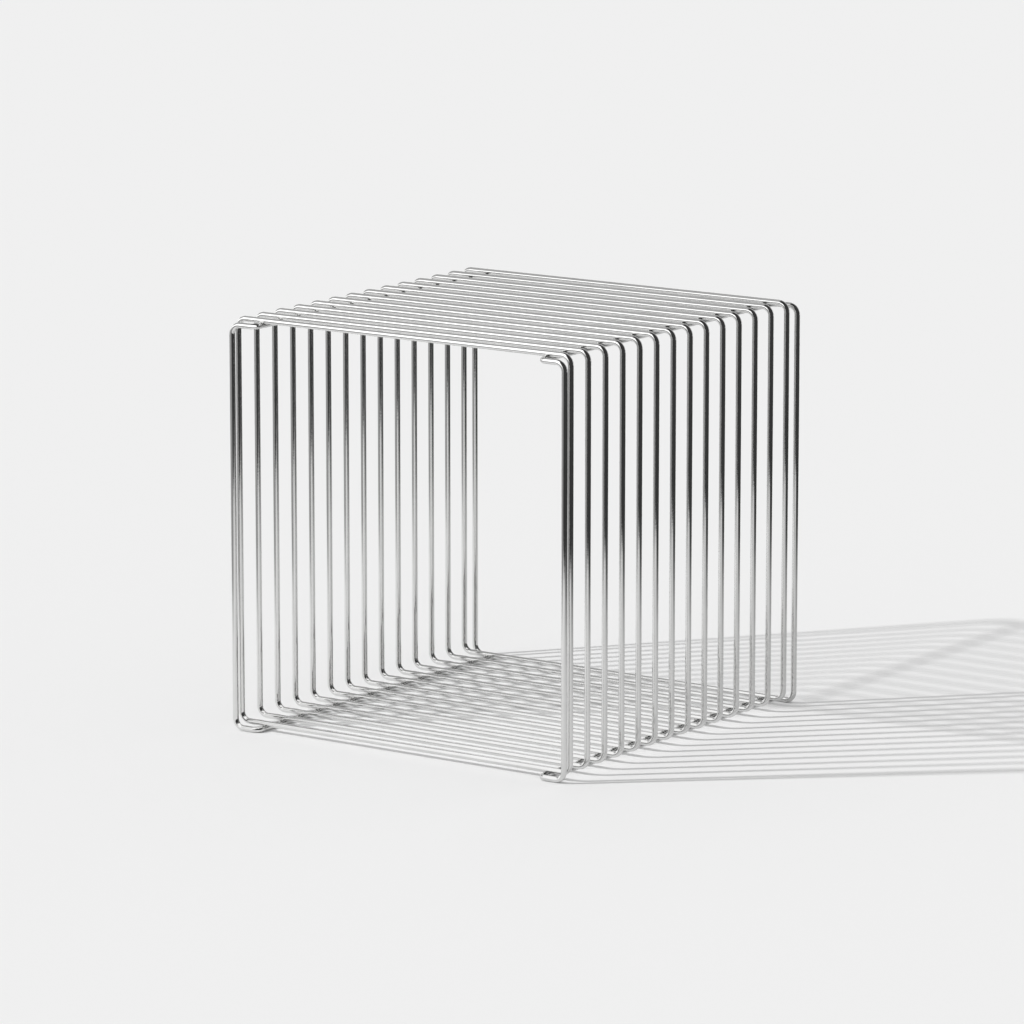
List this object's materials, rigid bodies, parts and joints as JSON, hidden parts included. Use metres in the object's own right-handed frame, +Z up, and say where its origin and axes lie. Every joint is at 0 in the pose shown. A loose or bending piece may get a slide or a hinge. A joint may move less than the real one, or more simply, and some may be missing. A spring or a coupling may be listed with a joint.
{
  "type": "open wire storage cube",
  "caption": "Chrome-plated steel wire cube, open at the front and back, of evenly spaced closed wire rings welded to two side frames; it stacks as open shelving or stands as a small side table.",
  "frame": {"origin": "on the floor under the middle of the cube", "axes": "+X to the right, +Y to the rear, +Z up"},
  "size_m": [0.345, 0.361, 0.3585],
  "materials": {
    "chrome_wire": "polished",
    "weld_metal": "satin"
  },
  "bodies": {
    "root": {"wire_ring_01": "chrome_wire", "wire_ring_02": "chrome_wire", "wire_ring_03": "chrome_wire", "wire_ring_04": "chrome_wire", "wire_ring_05": "chrome_wire", "wire_ring_06": "chrome_wire", "wire_ring_07": "chrome_wire", "wire_ring_08": "chrome_wire", "wire_ring_09": "chrome_wire", "wire_ring_10": "chrome_wire", "wire_ring_11": "chrome_wire", "wire_ring_12": "chrome_wire", "wire_ring_13": "chrome_wire", "wire_ring_14": "chrome_wire", "side_frame_left": "chrome_wire", "side_frame_right": "chrome_wire", "weld_collars_top_left": "weld_metal", "weld_collars_top_right": "weld_metal", "weld_collars_bottom_left": "weld_metal", "weld_collars_bottom_right": "weld_metal"}
  },
  "joints": []
}
